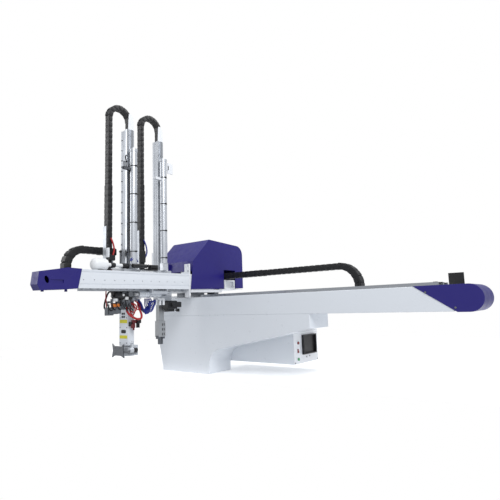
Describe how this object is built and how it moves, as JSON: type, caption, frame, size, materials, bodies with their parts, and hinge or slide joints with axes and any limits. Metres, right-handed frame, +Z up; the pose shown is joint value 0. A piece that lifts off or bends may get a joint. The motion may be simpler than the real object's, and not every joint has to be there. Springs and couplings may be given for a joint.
{
  "type": "injection moulding robot",
  "caption": "Top-entry take-out robot: traverse beam on a bolted column, hooded carriage, kick beam with a main arm and a runner arm, energy chains and a control box.",
  "frame": {"origin": "centre of the foot's underside, which bolts on the moulding machine", "axes": "+X along the traverse beam towards its rounded cap, +Y from the arms towards the control box, +Z up"},
  "size_m": [2.719, 1.9935, 2.1599],
  "materials": {
    "frame_paint": "satin",
    "panel_paint": "satin",
    "hood_shell": "gloss",
    "steel": "ground",
    "dark_steel": "blackened",
    "aluminium": "anodised",
    "dark_aluminium": "anodised",
    "chain_plastic": "moulded",
    "motor_case": "satin",
    "light_motor_case": "satin",
    "hose_rubber": "matt",
    "black_plastic": "moulded",
    "red_plastic": "gloss",
    "green_plastic": "gloss"
  },
  "bodies": {
    "base": {"base_column": "frame_paint", "traverse_beam": "frame_paint", "beam_end_cap": "hood_shell", "traverse_rails": "steel", "end_stops": "dark_steel", "chain_tray": "frame_paint", "traverse_chain_fixed": "chain_plastic", "control_box": "frame_paint", "control_panel": "panel_paint", "cover_screws": "steel", "power_socket": "black_plastic"},
    "traverse": {"carriage_plate": "panel_paint", "carriage_blocks": "dark_steel", "traverse_motor": "motor_case", "carriage_hood": "hood_shell", "hood_floor": "panel_paint", "traverse_chain_moving": "chain_plastic", "kick_beam": "frame_paint", "kick_rails": "steel", "beam_clamp": "dark_steel", "nose_cap": "hood_shell", "kick_chain_fixed": "chain_plastic", "kick_chain_tray": "aluminium", "sub_kick_cylinder": "dark_aluminium"},
    "traverse_pinion": {"traverse_pinion": "steel"},
    "traverse_bend": {"traverse_chain_bend": "chain_plastic"},
    "main_kick": {"main_slide": "aluminium", "main_guide_blocks": "dark_steel", "main_cylinder": "aluminium", "main_chain_fixed": "chain_plastic", "lift_motor": "light_motor_case", "kick_motor": "motor_case", "kick_chain_moving": "chain_plastic", "main_valves": "dark_aluminium", "main_hoses": "hose_rubber"},
    "kick_pinion": {"kick_pinion": "steel"},
    "lift_pinion": {"lift_pinion": "steel"},
    "kick_bend": {"kick_chain_bend": "chain_plastic"},
    "main_bend": {"main_chain_bend": "chain_plastic"},
    "main_lift": {"main_arm_profile": "aluminium", "main_lift_rail": "steel", "main_arm_box": "frame_paint", "main_chain_end": "panel_paint", "wrist_unit": "aluminium"},
    "wrist": {"tool_plate": "dark_aluminium"},
    "sub_kick": {"sub_slide": "aluminium", "sub_guide_blocks": "dark_steel", "sub_cylinder": "aluminium", "sub_chain_fixed": "chain_plastic"},
    "sub_bend": {"sub_chain_bend": "chain_plastic"},
    "sub_lift": {"sub_arm_profile": "aluminium", "sub_lift_rail": "steel", "sub_chain_end": "panel_paint", "gripper_body": "aluminium"},
    "jaw_left": {"gripper_jaw_left": "dark_steel"},
    "jaw_right": {"gripper_jaw_right": "dark_steel"},
    "red_button": {"red_button": "red_plastic"},
    "green_button": {"green_button": "green_plastic"},
    "rocker": {"rocker_switch": "red_plastic"}
  },
  "joints": [
    {"name": "traverse_slide", "type": "slide", "parent": "base", "child": "traverse", "axis": [1, 0, 0], "range_m": [0, 1.4]},
    {"name": "traverse_pinion_spin", "type": "hinge", "parent": "traverse", "child": "traverse_pinion", "pos_m": [-0.045, 0.0448, 0.65], "axis": [0, 0, 1], "range_deg": [-3345, 0]},
    {"name": "traverse_chain_roll", "type": "slide", "parent": "base", "child": "traverse_bend", "axis": [1, 0, 0], "range_m": [0, 0.7]},
    {"name": "main_kick_slide", "type": "slide", "parent": "traverse", "child": "main_kick", "axis": [0, -1, 0], "range_m": [0, 0.25]},
    {"name": "kick_pinion_spin", "type": "hinge", "parent": "main_kick", "child": "kick_pinion", "pos_m": [0.098, -0.77, 0.6532], "axis": [1, 0, 0], "range_deg": [-718, 0]},
    {"name": "kick_chain_roll", "type": "slide", "parent": "traverse", "child": "kick_bend", "axis": [0, -1, 0], "range_m": [0, 0.125]},
    {"name": "main_lift_slide", "type": "slide", "parent": "main_kick", "child": "main_lift", "axis": [0, 0, -1], "range_m": [0, 1.1]},
    {"name": "lift_pinion_spin", "type": "hinge", "parent": "main_kick", "child": "lift_pinion", "pos_m": [0, -0.7548, 0.868], "axis": [1, 0, 0], "range_deg": [-3503, 0]},
    {"name": "main_chain_roll", "type": "slide", "parent": "main_kick", "child": "main_bend", "axis": [0, 0, -1], "range_m": [0, 0.55]},
    {"name": "tool_flip", "type": "hinge", "parent": "main_lift", "child": "wrist", "pos_m": [-0.008, -0.701, 0.228], "axis": [1, 0, 0], "range_deg": [0, 90]},
    {"name": "sub_kick_slide", "type": "slide", "parent": "traverse", "child": "sub_kick", "axis": [0, 1, 0], "range_m": [0, 0.08]},
    {"name": "sub_lift_slide", "type": "slide", "parent": "sub_kick", "child": "sub_lift", "axis": [0, 0, -1], "range_m": [0, 1]},
    {"name": "sub_chain_roll", "type": "slide", "parent": "sub_kick", "child": "sub_bend", "axis": [0, 0, -1], "range_m": [0, 0.5]},
    {"name": "left_jaw_slide", "type": "slide", "parent": "sub_lift", "child": "jaw_left", "axis": [0, 1, 0], "range_m": [0, 0.007]},
    {"name": "right_jaw_slide", "type": "slide", "parent": "sub_lift", "child": "jaw_right", "axis": [0, -1, 0], "range_m": [0, 0.007]},
    {"name": "red_button_press", "type": "slide", "parent": "base", "child": "red_button", "axis": [-1, 0, 0], "range_m": [0, 0.004], "stiffness_N_per_m": 300},
    {"name": "green_button_press", "type": "slide", "parent": "base", "child": "green_button", "axis": [-1, 0, 0], "range_m": [0, 0.004], "stiffness_N_per_m": 300},
    {"name": "rocker_tip", "type": "hinge", "parent": "base", "child": "rocker", "pos_m": [0.931, 0.19, 0.175], "axis": [0, 1, 0], "range_deg": [0, 16]}
  ],
  "couplings": [
    {"joint": "traverse_pinion_spin", "follows": "traverse_slide", "rad_per_m": -41.667},
    {"joint": "traverse_chain_roll", "follows": "traverse_slide", "ratio": 0.5},
    {"joint": "kick_pinion_spin", "follows": "main_kick_slide", "rad_per_m": -50},
    {"joint": "kick_chain_roll", "follows": "main_kick_slide", "ratio": 0.5},
    {"joint": "lift_pinion_spin", "follows": "main_lift_slide", "rad_per_m": -55.556},
    {"joint": "main_chain_roll", "follows": "main_lift_slide", "ratio": 0.5},
    {"joint": "sub_chain_roll", "follows": "sub_lift_slide", "ratio": 0.5},
    {"joint": "right_jaw_slide", "follows": "left_jaw_slide", "ratio": 1}
  ]
}
